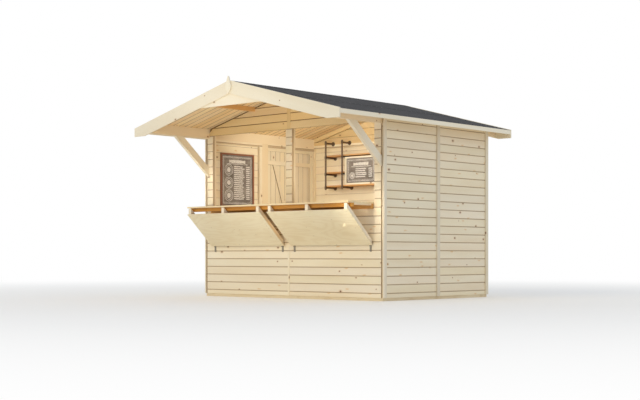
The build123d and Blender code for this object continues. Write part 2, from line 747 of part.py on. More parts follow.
def build_nodes():
    """Every node's solids by name."""
    nodes = {}
    nodes["base_long_bearers"] = long_bearers()
    nodes["base_cross_bearers"] = cross_bearers()
    nodes["floor"] = [floor()]

    both_sides(nodes, "front_wall", [end_wall_panel("front", bearer_height, sill_height)])
    nodes["front_corner_posts"] = pair(corner_post())
    nodes["front_centre_post"] = [centre_post()]
    nodes["sills"] = pair(sill())
    both_sides(nodes, "front_gable", [gable_panel("front")])
    both_sides(nodes, "back_wall", [end_wall_panel("back", bearer_height, opening_top, (sill_height,))
                                    - right_purlins])
    both_sides(nodes, "back_gable", [gable_panel("back")])
    nodes["right_wall_front"] = [side_wall_panel("right", side_front, 0)]
    nodes["right_wall_rear"] = [side_wall_panel("right", 0, side_back)]
    nodes["left_wall_front"] = [side_wall_panel("left", side_front, door_post_front)]
    nodes["left_wall_over_door"] = [left_wall_over_door()]
    nodes["door_posts"] = [door_post(door_post_front, doorway_front), door_post(doorway_back, side_back)]
    nodes["door_threshold"] = [door_threshold()]
    trim_starts = (-half_depth, half_depth - corner_trim_width)
    nodes["corner_trims"] = [corner_trim_piece(side, y) for side in ("left", "right") for y in trim_starts]
    nodes["cover_strips"] = [side_cover_batten(), *joint_strips()]

    first = doorway_front + door_gap
    second = first + leaf_width + door_meeting_gap
    front_pin, rear_pin = doorway_front + door_gap / 2, doorway_back - door_gap / 2
    nodes["door_leaf_front"] = [door_leaf(first, first + leaf_width, True, 0)]
    nodes["door_leaf_rear"] = [door_leaf(second, second + leaf_width, False, door_hinge_stile)]
    nodes["door_hinge_plates"] = door_hinge_fixed(front_pin, 1) + door_hinge_fixed(rear_pin, -1)
    nodes["door_fittings_front"] = [*door_hinge_moving(front_pin, 1),
                                    door_handle(first + leaf_width - door_handle_inset)]
    nodes["door_fittings_rear"] = door_hinge_moving(rear_pin, -1)

    nodes["counter_top"] = [counter_top()]
    nodes["counter_frame"] = [counter_frame()]
    both_sides(nodes, "flap", [flap()])
    both_sides(nodes, "flap_hinges", flap_hinge_moving())
    nodes["flap_hinge_plates"] = [solid for right in flap_hinge_fixed() for solid in pair(right)]

    nodes["eave_purlins"] = pair(right_eave_purlin)
    nodes["middle_purlins"] = pair(right_middle_purlin)
    both_sides(nodes, "roof_boards", [roof_slab(0, roof_edge, 0, roof_board, roof_front, roof_back)])
    nodes["roof_felt"] = [roof_felt()]
    nodes["eave_fascias"] = pair(eave_fascia())
    both_sides(nodes, "barge_boards", [barge_board(roof_front - barge), barge_board(roof_back)])
    nodes["apex_board"] = [apex_board()]
    nodes["finial"] = [finial()]
    nodes["knee_braces"] = pair(knee_brace())

    nodes["menu_boards"] = [side_menu_board(), back_menu_board()]
    nodes["wall_shelf"] = shelf_boards()
    nodes["shelf_pipes"] = shelf_pipes()
    return nodes


os.makedirs("parts", exist_ok=True)
for name, solids in build_nodes().items():
    shape = solids[0] if len(solids) == 1 else Compound(children=solids)
    export_step(shape, f"parts/{name}.step")
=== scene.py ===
import json
import math
import random

import bmesh
import bpy
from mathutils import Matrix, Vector

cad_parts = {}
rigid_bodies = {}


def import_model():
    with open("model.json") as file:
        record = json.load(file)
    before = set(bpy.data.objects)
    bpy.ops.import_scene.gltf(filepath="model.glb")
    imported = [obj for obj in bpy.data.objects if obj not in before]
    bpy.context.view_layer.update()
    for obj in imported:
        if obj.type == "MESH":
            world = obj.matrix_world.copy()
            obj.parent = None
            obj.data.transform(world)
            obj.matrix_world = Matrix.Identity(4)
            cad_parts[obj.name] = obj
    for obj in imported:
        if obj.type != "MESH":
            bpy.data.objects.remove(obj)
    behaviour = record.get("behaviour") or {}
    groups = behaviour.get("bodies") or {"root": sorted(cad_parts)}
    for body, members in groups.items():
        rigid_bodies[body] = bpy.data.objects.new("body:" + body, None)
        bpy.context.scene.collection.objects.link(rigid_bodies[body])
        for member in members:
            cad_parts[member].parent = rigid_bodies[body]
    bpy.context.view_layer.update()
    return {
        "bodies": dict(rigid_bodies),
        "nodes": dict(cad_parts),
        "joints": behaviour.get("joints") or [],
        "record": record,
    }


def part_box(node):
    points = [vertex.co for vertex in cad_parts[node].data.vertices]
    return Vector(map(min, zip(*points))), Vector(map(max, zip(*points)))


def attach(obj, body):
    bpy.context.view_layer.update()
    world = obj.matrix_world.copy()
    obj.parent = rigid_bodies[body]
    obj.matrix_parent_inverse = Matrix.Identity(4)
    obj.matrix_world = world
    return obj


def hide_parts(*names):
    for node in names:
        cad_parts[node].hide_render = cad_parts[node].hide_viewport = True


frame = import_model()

# A timber garden bar. Metres, +X to the right seen from the front, +Y into the hut, +Z up.
draw = random.Random(7)


def edge_of(node, corner, axis):
    """One coordinate of a node's box, to a tenth of a millimetre."""
    return round(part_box(node)[corner][axis], 4)


# Sizes of the frame
half_width = edge_of("right_wall_front", 1, 0)
half_depth = edge_of("back_wall_right", 1, 1)
floor_bottom = edge_of("floor", 0, 2)
sill_height = edge_of("front_wall_left", 1, 2)
opening_top = edge_of("front_gable_left", 0, 2)
purlin_bottom = edge_of("eave_purlins", 0, 2)
boards_end = edge_of("front_wall_right", 1, 0)
roof_edge = edge_of("roof_boards_right", 1, 0)
roof_front = edge_of("roof_boards_right", 0, 1)
roof_back = edge_of("roof_boards_right", 1, 1)
wall_top = 2.168
wall_board = 0.018
stud = 0.045
wall = wall_board + stud
pitch = math.radians(14.7)
slope = math.tan(pitch)
upright = 1 / math.cos(pitch)

# Boards
board_pitch = 0.100
first_joint = 0.093
groove_height = 0.011
groove_depth = 0.006
inner_joint = 0.003
small_edge = 0.0015
gable_gap = 0.020


def roof_under(x):
    """Height of the roof boards' underside at x."""
    return wall_top + (half_width - abs(x)) * slope


def roof_reach(z):
    """How far from the middle the gable's boards reach at height z, a shadow gap below the roof."""
    return min(boards_end, half_width - (z + gable_gap - wall_top) / slope)


# Meshes

def new_grain():
    """A timber's own shift in the grain, and its tone."""
    return Vector((draw.uniform(0, 40), draw.uniform(0, 40), 0)), draw.uniform(-1, 1)


def grain_layers(bm):
    return bm.verts.layers.float_vector.new("grain"), bm.verts.layers.float.new("tone")


class Timbers:
    """Collects timbers, each a closed solid of its own, with every point's place in its grain."""

    def __init__(self):
        self.points = []
        self.faces = []
        self.grain = []
        self.tone = []

    def add(self, profile, start, end, place, axes=None):
        """A profile of (across, depth) points, run from start to end along the grain. start and end
        are numbers or functions of (across, depth), and place gives the point in the frame. Where
        axes are given, the grain follows those three directions."""
        shift, tone = new_grain()
        first = len(self.points)
        count = len(profile)
        for limit in (start, end):
            for across, depth in profile:
                along = limit(across, depth) if callable(limit) else limit
                point = Vector(place(along, across, depth))
                own = Vector((along, across, depth))
                if axes:
                    own = Vector([point.dot(axis) for axis in axes])
                self.points.append(point)
                self.grain.append(own + shift)
                self.tone.append(tone)
        ring = range(count)
        self.faces.append([first + i for i in ring])
        self.faces.append([first + count + i for i in reversed(ring)])
        for i in ring:
            after = (i + 1) % count
            self.faces.append([first + i, first + after, first + count + after, first + count + i])

    def beam(self, low, high, along, edge=small_edge):
        """A rectangular timber between two corners, its grain along axis 0, 1 or 2."""
        low, high = Vector(map(min, low, high)), Vector(map(max, low, high))
        others = sorted((i for i in range(3) if i != along), key=lambda i: low[i] - high[i])
        wide, thick = others
        size = high - low

        def place(a, c, d):
            point = [0, 0, 0]
            point[along] = a
            point[wide] = low[wide] + c
            point[thick] = low[thick] + d
            return point

        self.add(bevelled(size[wide], size[thick], edge), low[along], high[along], place)

    def made(self, name, material, *nodes, body="hut", bevel=0.0, slot=None):
        """The timbers as one piece that rides on a body and stands for the CAD nodes."""
        bm = bmesh.new()
        for point in self.points:
            bm.verts.new(point)
        bm.verts.ensure_lookup_table()
        grain, tone = grain_layers(bm)
        for vert, own, shade in zip(bm.verts, self.grain, self.tone):
            vert[grain] = own
            vert[tone] = shade
        for face in self.faces:
            bm.faces.new([bm.verts[i] for i in face])
        if bevel:
            soften(bm, bevel)
        return finished(bm, name, body, material, nodes)


def bevelled(width, thickness, edge):
    """A rectangle with its four corners cut off."""
    w, t, e = width, thickness, edge
    return [(e, 0), (w - e, 0), (w, e), (w, t - e), (w - e, t), (e, t), (0, t - e), (0, e)]


def soften(bm, width, segments=2):
    """Rounds every sharp edge."""
    bmesh.ops.recalc_face_normals(bm, faces=bm.faces)
    sharp = [e for e in bm.edges if e.is_manifold and e.calc_face_angle() > math.radians(28)]
    bmesh.ops.bevel(bm, geom=sharp, offset=width, segments=segments, profile=0.6, affect="EDGES",
                    clamp_overlap=True)


def placed(name, data, aim=None):
    """A new object in the scene, which looks along aim."""
    made = bpy.data.objects.new(name, data)
    bpy.context.scene.collection.objects.link(made)
    if aim:
        made.rotation_mode = "QUATERNION"
        made.rotation_quaternion = Vector(aim).to_track_quat("-Z", "Y")
    return made


def meshed(bm, name, material):
    """The mesh as an object of the scene."""
    mesh = bpy.data.meshes.new(name)
    bm.to_mesh(mesh)
    bm.free()
    mesh.materials.append(material)
    return placed(name, mesh)


def finished(bm, name, body, material, nodes=(), smooth=False):
    """The mesh as a piece that rides on a body."""
    bmesh.ops.recalc_face_normals(bm, faces=bm.faces)
    piece = meshed(bm, name, material)
    if smooth:
        piece.data.shade_smooth()
        piece.data.set_sharp_from_angle(angle=math.radians(35))
    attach(piece, body)
    if nodes:
        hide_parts(*nodes)
    return piece


def islands(bm):
    """The mesh's solids, each as a list of vertices."""
    left = set(bm.verts)
    while left:
        found = {left.pop()}
        edge = list(found)
        while edge:
            near = {e.other_vert(v) for v in edge for e in v.link_edges} & left
            left -= near
            found |= near
            edge = list(near)
        yield found


def grain_of(verts):
    """Along, across and depth of one timber: its longest edge, and its largest face along that."""
    edges = {e for v in verts for e in v.link_edges}
    longest = max(edges, key=lambda e: e.calc_length())
    along = (longest.verts[1].co - longest.verts[0].co).normalized()
    faces = {f for v in verts for f in v.link_faces if abs(f.normal.dot(along)) < 0.1}
    depth = max(faces, key=lambda f: f.calc_area()).normal
    return along, depth.cross(along).normalized(), depth


def dress(node, material, bevel, body="hut", segments=2, smooth=False, name=None, held=None):
    """A node's solids with rounded edges, and each one's grain along its length. held picks
    solids by their middles."""
    bm = bmesh.new()
    bm.from_mesh(frame["nodes"][node].data)
    bmesh.ops.remove_doubles(bm, verts=bm.verts, dist=1e-5)
    bmesh.ops.dissolve_limit(bm, angle_limit=math.radians(1), verts=bm.verts, edges=bm.edges)
    soften(bm, bevel, segments)
    grain, tone = grain_layers(bm)
    groups = sorted(islands(bm), key=lambda g: tuple(round(c, 3) for c in min(v.co[:] for v in g)))
    for verts in groups:
        middle = sum((v.co for v in verts), Vector()) / len(verts)
        if held and not held(middle):
            bmesh.ops.delete(bm, geom=list(verts), context="VERTS")
            continue
        axes = grain_of(verts)
        shift, shade = new_grain()
        for vert in verts:
            vert[grain] = Vector([(vert.co - middle).dot(axis) for axis in axes]) + shift
            vert[tone] = shade
    return finished(bm, name or node + "_finish", body, material, (node,), smooth=smooth)


def skin(bm, rings):
    """A closed solid through rings of vertices."""
    bm.faces.new(reversed(rings[0]))
    for lower, upper in zip(rings, rings[1:]):
        for i in range(len(lower)):
            after = (i + 1) % len(lower)
            bm.faces.new([lower[i], lower[after], upper[after], upper[i]])
    bm.faces.new(rings[-1])


class Heads:
    """Collects low round heads of nails and screws."""

    def __init__(self):
        self.bm = bmesh.new()

    def add(self, point, normal, radius=0.0016, rise=0.0003, sides=10):
        """One head, its rim on a surface that faces along normal."""
        normal = Vector(normal).normalized()
        turn = normal.to_track_quat("Z", "Y")
        rings = []
        for size, lift in ((1.0, -0.0003), (1.0, rise * 0.5), (0.7, rise)):
            ring = []
            for i in range(sides):
                angle = math.tau * i / sides
                out = radius * size
                spoke = turn @ Vector((math.cos(angle) * out, math.sin(angle) * out, lift))
                ring.append(self.bm.verts.new(Vector(point) + spoke))
            rings.append(ring)
        skin(self.bm, rings)

    def made(self, name, material, body="hut"):
        return finished(self.bm, name, body, material)


# Materials

class Shader:
    """The node tree of a material or world, with short ways to add and join nodes."""

    def __init__(self, name, owners=bpy.data.materials):
        self.owner = owners.new(name)
        self.owner.use_nodes = True
        self.tree = self.owner.node_tree
        self.surface = self.tree.nodes.get("Principled BSDF")

    def node(self, kind, values=None, **settings):
        """A node with its settings, and its inputs from numbers or from other nodes' outputs."""
        made = self.tree.nodes.new("ShaderNode" + kind)
        for key, value in settings.items():
            setattr(made, key, value)
        for key, value in (values or {}).items():
            self.feed(made.inputs[key], value)
        return made

    def feed(self, socket, value):
        if isinstance(value, bpy.types.NodeSocket):
            self.tree.links.new(value, socket)
        else:
            socket.default_value = value

    def math(self, operation, a, b=0.0, c=0.0, clamp=False):
        made = self.node("Math", {0: a, 1: b, 2: c}, operation=operation, use_clamp=clamp)
        return made.outputs[0]

    def add(self, a, b):
        return self.math("ADD", a, b)

    def times(self, a, b, plus=None, clamp=False):
        if plus is None:
            return self.math("MULTIPLY", a, b)
        return self.math("MULTIPLY_ADD", a, b, plus, clamp)

    def between(self, value, low, high, start=0.0, end=1.0):
        """A smooth step from start to end as value goes from low to high."""
        made = self.node("MapRange", {"Value": value, "From Min": low, "From Max": high,
                                      "To Min": start, "To Max": end}, interpolation_type="SMOOTHSTEP")
        return made.outputs[0]

    def mix(self, factor, a, b, blend="MIX"):
        made = self.node("Mix", {0: factor, 6: a, 7: b}, data_type="RGBA", blend_type=blend)
        return made.outputs[2]

    def noise(self, vector, scale, detail=2.0, rough=0.5):
        """Noise at one scale, or at a scale of its own for each direction."""
        if isinstance(scale, tuple):
            vector = self.node("VectorMath", {0: vector, 1: scale}, operation="MULTIPLY").outputs[0]
            scale = 1.0
        made = self.node("TexNoise", {"Vector": vector, "Scale": scale, "Detail": detail, "Roughness": rough})
        return made.outputs[0]

    def place(self):
        return self.node("TexCoord").outputs["Object"]

    def timber(self):
        """A point's place in its board, and the board's tone."""
        return (self.node("Attribute", attribute_name="grain").outputs["Vector"],
                self.node("Attribute", attribute_name="tone").outputs["Fac"])

    def parts(self, colour):
        return self.node("SeparateColor", {0: colour}).outputs

    def cells(self, vector, scale, dimensions="3D"):
        """Distance to the middle of the nearest cell, and that cell's random numbers."""
        made = self.node("TexVoronoi", {"Vector": vector, "Scale": scale}, voronoi_dimensions=dimensions)
        return made.outputs["Distance"], self.parts(made.outputs["Color"])

    def set(self, name, value):
        self.feed(self.surface.inputs[name], value)

    def colour(self, value):
        self.set("Base Color", value)

    def rough(self, value):
        self.set("Roughness", value)

    def bump(self, height, distance, strength):
        made = self.node("Bump", {"Strength": strength, "Distance": distance, "Height": height})
        self.set("Normal", made.outputs[0])

    def seen_as_white(self, kind, output, plain, share=None):
        """White for the camera, gloss and glass, by share, and the plain shader for the light."""
        path = self.node("LightPath").outputs
        eye = self.math("MAXIMUM", path["Is Glossy Ray"], path["Is Transmission Ray"])
        eye = self.math("MAXIMUM", path["Is Camera Ray"], eye)
        if share is not None:
            eye = self.times(eye, share)
        white = self.node(kind, {"Color": (1, 1, 1, 1), "Strength": 1.0}).outputs[0]
        blend = self.node("MixShader", {0: eye, 1: plain, 2: white}).outputs[0]
        self.feed(self.tree.nodes[output].inputs["Surface"], blend)


def rgb(red, green, blue):
    """A colour as it is seen, from 0 to 255, for a shader."""
    def linear(value):
        value /= 255
        return value / 12.92 if value <= 0.04045 else ((value + 0.055) / 1.055) ** 2.4
    return linear(red), linear(green), linear(blue), 1.0


def wood(name, light, dark, knots=1.0, groove=None, variety=1.0, resin=0.0):
    """Softwood: rings about a pith below the face, fibres, knots that bend the rings, and boards
    that differ in tone. groove is the colour down in the joints between boards, and resin the
    share of cells with an amber mark."""
    s = Shader(name)
    grain, tone = s.timber()
    own = s.parts(s.node("TexWhiteNoise", {"W": tone}, noise_dimensions="1D").outputs["Color"])
    along, across, depth = s.node("SeparateXYZ", {0: grain}).outputs

    # Knots: one cell in a few holds one
    flat = s.node("CombineXYZ", {0: s.times(along, 0.7), 1: across}).outputs[0]
    spacing = 5.2
    distance, random_parts = s.cells(flat, spacing, "2D")
    distance = s.math("DIVIDE", distance, spacing)
    edge_wave = s.times(s.noise(grain, 90.0), 0.004)
    distance = s.add(distance, s.math("SUBTRACT", edge_wave, 0.002))
    held = s.math("LESS_THAN", random_parts[0], 0.26 * knots)
    size = s.times(random_parts[1], 0.0065, 0.0035)
    core = s.times(held, s.between(distance, s.times(size, 1.15), size))
    halo = s.times(held, s.between(distance, s.times(size, 3.4), size))

    # Rings, and the fibres between them
    ring = 0.0042
    sway = s.noise(grain, (1.1, 7.0, 7.0), 3.0)
    ripple = s.noise(grain, (4.0, 30.0, 30.0), 2.0)
    side = s.times(sway, 0.035, s.add(across, s.times(own[0], 0.14, -0.12)))
    deep = s.add(depth, s.times(own[1], 0.05, 0.012))
    deep = s.times(s.math("SINE", s.times(along, 0.9)), 0.012, deep)
    radius = s.math("SQRT", s.add(s.times(side, side), s.times(deep, deep)))
    radius = s.times(halo, 0.008, radius)
    radius = s.times(ripple, 0.0035, radius)
    phase = s.times(radius, math.tau / ring)
    bands = s.times(s.math("SINE", phase), 0.5, 0.5)
    late = s.math("POWER", bands, 2.6)
    fibres = s.noise(grain, (9.0, 520.0, 520.0), 2.0, 0.6)
    pores = s.noise(grain, (28.0, 900.0, 900.0), 1.0, 0.5)

    # Colour
    cloud = s.noise(grain, (0.9, 5.0, 5.0), 2.0)
    figure = s.times(late, 0.30, s.times(fibres, 0.22))
    figure = s.times(s.math("SUBTRACT", cloud, 0.5), 0.9, figure)
    colour = s.mix(s.math("ADD", figure, 0.0, clamp=True), light, dark)
    brighter = s.times(tone, 0.035 * variety, 1.0)
    brighter = s.times(own[2], 0.02 * variety, brighter)
    value = s.node("HueSaturation", {"Hue": s.times(own[1], -0.008 * variety, 0.504),
                                     "Saturation": s.times(own[0], 0.16 * variety, 0.92),
                                     "Value": brighter, "Color": colour}).outputs[0]
    colour = s.mix(s.times(halo, 0.38), value, rgb(204, 152, 92))
    colour = s.mix(s.times(core, 0.88), colour, rgb(112, 74, 44))
    if resin:
        flat = s.node("CombineXYZ", {0: along, 1: s.times(across, 3.0)}).outputs[0]
        distance, random_parts = s.cells(flat, 3.0, "2D")
        chosen = s.math("LESS_THAN", random_parts[0], resin)
        edge_wave = s.noise(grain, (30.0, 110.0, 110.0), 3.0)
        ragged = s.times(edge_wave, 0.20, distance)
        mark = s.times(chosen, s.between(ragged, 0.22, 0.13))
        colour = s.mix(s.times(mark, 0.55), colour, rgb(222, 170, 92))
    if groove:
        # A face set a groove's depth back in its grain takes this colour too; the gable rafters use that for
        # painted shade in the gap under the roof
        inside = s.between(depth, 0.0010, 0.0045)
        hidden = s.between(depth, 0.0166, 0.0176, 1.0, 0.0)
        colour = s.mix(s.times(s.times(inside, hidden), 0.8), colour, groove)
    s.colour(colour)
    s.rough(s.times(fibres, 0.18, 0.56))
    height = s.times(late, 0.5, s.times(fibres, 0.6))
    height = s.times(pores, 0.35, height)
    s.bump(s.times(core, 0.8, height), 0.00035, 0.8)
    return s.owner


def plywood(name, light, dark):
    """Rotary-cut face veneer: broad wandering figure, a few pin knots."""
    s = Shader(name)
    grain, tone = s.timber()
    field = s.noise(grain, (0.8, 3.2, 3.2), 3.0, 0.45)
    lines = s.times(s.math("SINE", s.times(field, 95.0)), 0.5, 0.5)
    fibres = s.noise(grain, (7.0, 420.0, 420.0), 2.0, 0.6)
    cloud = s.noise(grain, (1.3, 2.2, 2.2), 2.0)
    figure = s.times(s.math("POWER", lines, 2.0), 0.22, s.times(fibres, 0.25))
    figure = s.times(s.math("SUBTRACT", cloud, 0.5), 1.1, figure)
    colour = s.mix(s.math("ADD", figure, 0.0, clamp=True), light, dark)
    distance, random_parts = s.cells(grain, 4.2, "2D")
    chosen = s.math("LESS_THAN", random_parts[0], 0.3)
    pin = s.times(chosen, s.between(distance, 0.024, 0.012))
    colour = s.mix(s.times(pin, 0.8), colour, rgb(120, 84, 52))
    value = s.node("HueSaturation", {"Value": s.times(tone, 0.02, 1.0), "Color": colour})
    s.colour(value.outputs[0])
    s.rough(s.times(fibres, 0.15, 0.52))
    s.bump(s.times(lines, 0.25, fibres), 0.0002, 0.7)
    return s.owner


def felt_sheet(name):
    """Mineral felt: dark granules, faint clouds and streaks down the slope."""
    s = Shader(name)
    place = s.place()
    distance, (tint, *_) = s.cells(place, 620.0)
    cloud = s.noise(place, 1.7, 4.0, 0.6)
    streaks = s.noise(place, (0.8, 9.0, 0.8), 3.0)
    colour = s.mix(tint, rgb(28, 28, 30), rgb(56, 56, 59))
    dusty = s.times(s.add(cloud, streaks), 0.9, -0.62, clamp=True)
    colour = s.mix(s.times(dusty, 0.35), colour, rgb(74, 73, 71))
    s.colour(colour)
    s.rough(s.times(tint, 0.15, 0.80))
    s.set("Specular IOR Level", 0.3)
    s.bump(s.times(tint, 0.6, distance), 0.0006, 0.8)
    return s.owner


def zinc(name, base, patches=70.0, roughness=0.42):
    """Galvanised steel with faint spangle and dull patches."""
    s = Shader(name)
    place = s.place()
    tint = s.cells(place, patches)[1][0]
    dull = s.noise(place, 26.0, 4.0, 0.6)
    darker = tuple(c * 0.62 for c in base[:3]) + (1.0,)
    s.colour(s.mix(s.times(tint, 0.35, s.times(dull, 0.5)), base, darker))
    s.rough(s.times(dull, 0.25, roughness - 0.1))
    s.set("Metallic", 0.9)
    s.bump(s.noise(place, 900.0, 2.0), 0.00008, 0.6)
    return s.owner


def slate_paint(name):
    """Matt writing board with wiped chalk dust."""
    s = Shader(name)
    place = s.place()
    wiped = s.noise(place, (2.0, 2.0, 9.0), 5.0, 0.65)
    smear = s.noise(place, (9.0, 9.0, 3.0), 4.0, 0.6)
    dust = s.times(s.times(wiped, smear), 2.2, -0.28, clamp=True)
    s.colour(s.mix(dust, rgb(102, 91, 82), rgb(180, 169, 156)))
    s.rough(s.times(smear, 0.2, 0.7))
    s.bump(s.noise(place, 500.0, 3.0), 0.0002, 0.5)
    return s.owner


def chalk(name):
    """Chalk strokes, broken by the board's tooth."""
    s = Shader(name)
    place = s.place()
    broken = s.noise(place, 260.0, 4.0, 0.7)
    gaps = s.between(broken, 0.44, 0.62)
    s.colour(s.mix(s.times(gaps, 0.75), rgb(234, 228, 217), rgb(136, 127, 117)))
    s.rough(s.times(broken, 0.1, 0.85))
    s.bump(broken, 0.0002, 0.6)
    return s.owner


wall_wood = wood("wall_boards", rgb(242, 228, 196), rgb(222, 196, 150), knots=1.5, groove=rgb(166, 136, 98),
                 resin=0.22)
# A darker copy of the wall boards for the centre post: painted shade
post_wood_painted_shade = wood("post_boards", rgb(228, 213, 180), rgb(209, 183, 138), knots=1.5, groove=rgb(156, 126, 88),
                 resin=0.22)
# Gable boards, front and back: a darker, more orange copy of the wall boards, painted canopy shade and warm
# bounce; their very dark joint colour also serves the rafters' painted shade
gable_wood_painted_shade = wood("gable_boards", rgb(233, 206, 152), rgb(207, 170, 106), groove=rgb(112, 70, 26))
# Copies of the cover strip timber toned by where they stand: darker and orange on the front gable as painted
# canopy shade, as light as the wall boards on the front wall as painted sunlight
gable_strip_painted_shade_wood = wood("gable_strip_timber", rgb(219, 189, 133), rgb(193, 154, 91), knots=0.5)
front_strip_painted_light_wood = wood("front_strip_painted_light_timber", rgb(242, 228, 196), rgb(222, 196, 150), knots=0.5)
frame_wood = wood("frame_timber", rgb(240, 222, 184), rgb(216, 184, 132), knots=0.8)
trim_wood = wood("trim_timber", rgb(243, 231, 203), rgb(226, 203, 160), knots=0.5, variety=0.7)
corner_wood = wood("corner_trim_timber", rgb(234, 221, 193), rgb(216, 193, 152), knots=0.6, variety=0.7)
# Roof boards, seen from below: a warmer copy of the wall boards, painted warm bounce light under the canopy
roof_wood_painted_bounce = wood("roof_boards", rgb(238, 212, 164), rgb(212, 170, 112), knots=0.8, groove=rgb(92, 58, 28))
# Middle purlins more orange than the eave purlins below: painted shade under the roof
middle_purlin_painted_shade_wood = wood("purlin_timber", rgb(230, 190, 130), rgb(200, 148, 88), knots=0.7)
eave_wood = wood("eave_purlin_timber", rgb(243, 222, 182), rgb(222, 188, 138), knots=0.7)
# Long counter rails in deep orange: painted warm bounce shade between flap and counter
rail_wood_painted_bounce_shade = wood("counter_rail_painted_shade_timber", rgb(214, 156, 74), rgb(182, 124, 50), knots=1.6)
batten_wood = wood("flap_batten_timber", rgb(244, 230, 202), rgb(226, 200, 156), knots=1.0)
cover_wood = wood("cover_strip_timber", rgb(226, 212, 184), rgb(204, 182, 144), knots=0.5, variety=0.7)
counter_wood = wood("counter_timber", rgb(240, 220, 178), rgb(218, 182, 128), knots=0.9)
door_wood = wood("door_boards", rgb(240, 226, 194), rgb(220, 194, 150), knots=0.6, groove=rgb(136, 102, 62))
base_wood = wood("base_timber", rgb(226, 208, 170), rgb(190, 160, 112), knots=0.6)
floor_wood = wood("floor_boards", rgb(230, 206, 160), rgb(198, 162, 108), knots=0.9)
stained_wood = wood("stained_shelf_timber", rgb(216, 166, 108), rgb(172, 120, 70), knots=0.6)
red_frame_wood = wood("red_brown_frame", rgb(150, 96, 68), rgb(104, 60, 42), knots=0.2)
flap_ply = plywood("flap_panel", rgb(242, 228, 192), rgb(222, 198, 150))
felt_cover = felt_sheet("roofing_felt_cover")
zinc_cover = zinc("zinc_fittings", rgb(172, 162, 142), roughness=0.5)
nail_cover = zinc("nail_heads", rgb(150, 148, 146), patches=400.0)
black_pipe = zinc("black_iron", rgb(126, 106, 88), patches=160.0, roughness=0.6)
writing_board = slate_paint("writing_board_paint")
chalk_mark = chalk("chalk_marks")


# Walls

def on_wall(side, along, height, depth):
    """A point in a wall, its depth measured inwards from the boards' outer face."""
    if side == "front":
        return along, -half_depth + depth, height
    if side == "back":
        return along, half_depth - depth, height
    if side == "left":
        return -half_width + depth, along, height
    return half_width - depth, along, height


def courses(bottom, top):
    """The boards between two heights as (low, high, whether a joint is at the top)."""
    low = bottom
    number = math.floor((bottom - first_joint) / board_pitch + 1.001)
    while low < top - 1e-4:
        joint = first_joint + number * board_pitch
        high = min(joint, top)
        yield low, high, joint <= top + 1e-4
        low = high
        number += 1


def lap_profile(height, joint):
    """Section of a wall board: a recess along its top edge where another board follows."""
    e, v, t = small_edge, inner_joint, wall_board
    top = [(height - e, 0), (height, e)]
    if joint:
        foot = height - groove_height
        top = [(foot, 0), (foot + 0.003, groove_depth), (height, groove_depth)]
    return [(e, 0), *top, (height, t - v), (height - v, t), (v, t), (0, t - v), (0, e)]


def lay_boards(timbers, side, start, end, bottom, top):
    """Horizontal boards on a wall. start and end are numbers or functions of the height."""
    for low, high, joint in courses(bottom, top):
        def limit(value, low=low):
            return (lambda across, depth: value(low + across)) if callable(value) else value

        def place(along, across, depth, low=low):
            return on_wall(side, along, low + across, depth)

        timbers.add(lap_profile(high - low, joint), limit(start), limit(end), place)


def in_wall(timbers, side, along0, along1, z0, z1, grain, depth0=wall_board, depth1=wall):
    """A rectangular timber in a wall, its grain up ("up") or along the wall ("along")."""
    axis = 2 if grain == "up" else (0 if side in ("front", "back") else 1)
    timbers.beam(on_wall(side, along0, z0, depth0), on_wall(side, along1, z1, depth1), axis)


def lay_frame(timbers, side, start, end, bottom, top, studs, middle_rails=()):
    """Rails that run through, and studs between them."""
    bottoms = sorted((bottom, *middle_rails, top - stud))
    for low in bottoms:
        in_wall(timbers, side, start, end, low, low + stud, "along")
    for place in studs:
        for low, high in zip(bottoms, bottoms[1:]):
            in_wall(timbers, side, place, place + stud, low + stud, high, "up")


def panel(node, side, span, frame_span, top, frame_top, studs, middle_rails=()):
    """A wall panel of boards on a frame, from the floor up, in place of its node."""
    boards = Timbers()
    lay_boards(boards, side, *span, floor_bottom, top)
    lay_frame(boards, side, *frame_span, floor_bottom, frame_top, studs, middle_rails)
    boards.made(node + "_boards", wall_wood, node)


frame_end = half_width - wall
side_front = edge_of("right_wall_front", 0, 1)
left_front_end = edge_of("left_wall_front", 1, 1)
for sign, half in ((-1, "left"), (1, "right")):
    near_stud = min(0, sign * stud)
    far_stud = min(sign * frame_end, sign * (frame_end - stud))
    span = sorted((0, sign * boards_end))
    frame_span = sorted((0, sign * frame_end))

    panel(f"front_wall_{half}", "front", span, frame_span, sill_height, sill_height, (near_stud, far_stud))
    panel(f"back_wall_{half}", "back", span, frame_span, opening_top, opening_top, (near_stud,),
          (sill_height,))

    for side in ("front", "back"):
        node = f"{side}_gable_{half}"
        boards = Timbers()
        peak = roof_under(0) - gable_gap - 0.003
        limits = (lambda z: 0.0, roof_reach) if sign > 0 else (lambda z: -roof_reach(z), lambda z: 0.0)
        lay_boards(boards, side, *limits, opening_top, peak)
        in_wall(boards, side, *frame_span, opening_top, opening_top + stud, "along")
        top_of_stud = roof_under(stud) - stud * upright
        in_wall(boards, side, near_stud, near_stud + stud, opening_top + stud, top_of_stud, "up")

        def on_rafter(along, across, depth, side=side, sign=sign):
            height = roof_under(along) - (stud - across) * upright
            return on_wall(side, sign * along, height, wall_board + depth - groove_depth)

        # The rafter's outer face shows in the gap under the roof; set a groove's depth into its grain, it
        # takes the joints' dark colour as painted shade in that gap
        section = [(across, depth + groove_depth) for across, depth in bevelled(stud, stud, small_edge)]
        boards.add(section, 0, frame_end, on_rafter)
        boards.made(node + "_boards", gable_wood_painted_shade, node)

for node, start, end in (("right_wall_front", side_front, 0), ("right_wall_rear", 0, -side_front),
                         ("left_wall_front", side_front, left_front_end)):
    span = (start, end)
    panel(node, node.split("_")[0], span, span, wall_top, purlin_bottom, (start, end - stud), (sill_height,))

